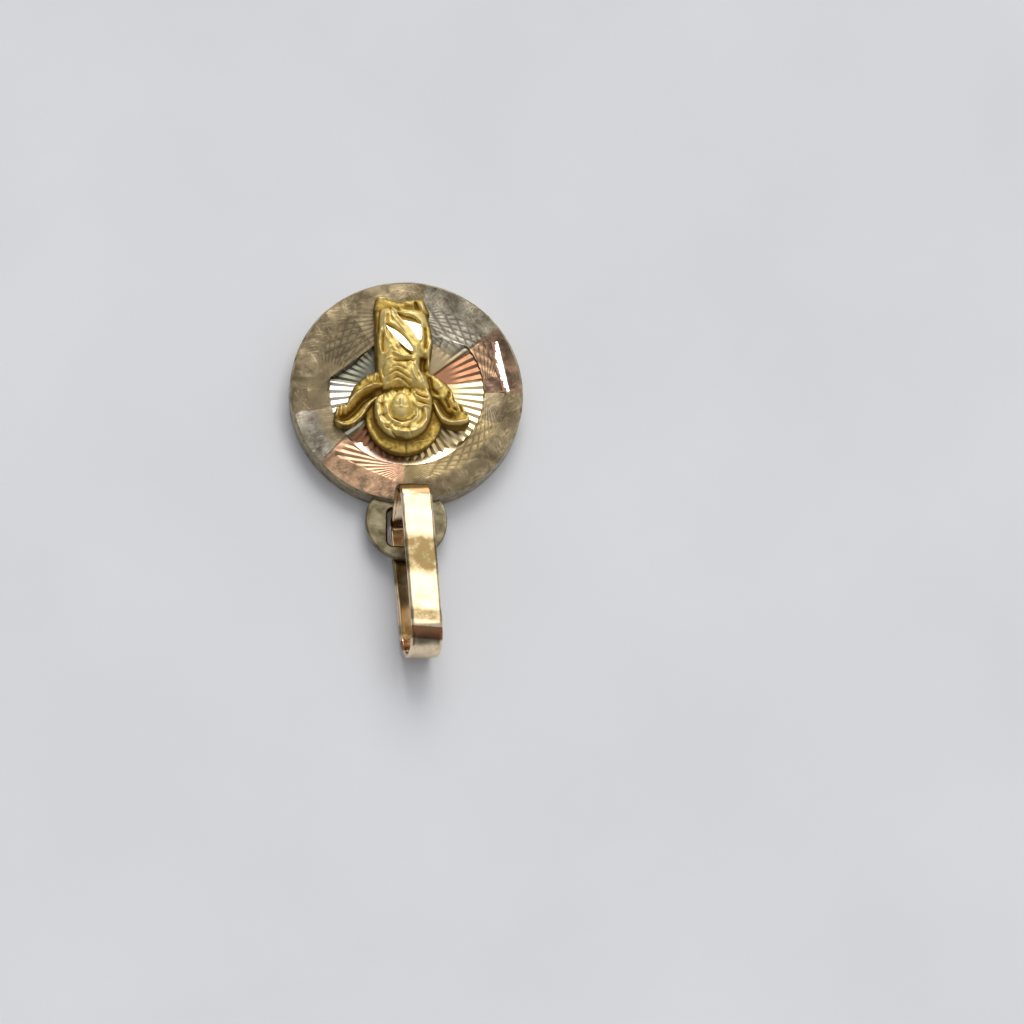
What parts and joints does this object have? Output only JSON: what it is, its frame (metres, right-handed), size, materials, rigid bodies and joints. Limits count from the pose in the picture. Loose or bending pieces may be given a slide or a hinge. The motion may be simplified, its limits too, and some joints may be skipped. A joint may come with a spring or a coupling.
{
  "type": "religious medal pendant",
  "caption": "Small round medal lying on its back: diamond-cut disc with a slotted ear, an applied raised figure with open arms and halo, and a loose flat-band bail for a chain.",
  "frame": {"origin": "middle of the disc's flat back, on the surface that the medal lies on", "axes": "+Z out of the medal's face, +Y towards its top, where the ear and bail are, +X to the right as the face is read"},
  "size_m": [0.015, 0.0255, 0.0045],
  "materials": {
    "tricolour_disc": "diamond-cut gold in white, rose and yellow plating, aged",
    "yellow_gold": "polished yellow gold casting",
    "champagne_gold": "polished pale gold strip with fine wear"
  },
  "bodies": {
    "root": {"medal_disc": "tricolour_disc", "relief_figure": "yellow_gold", "bail": "champagne_gold"}
  },
  "joints": []
}
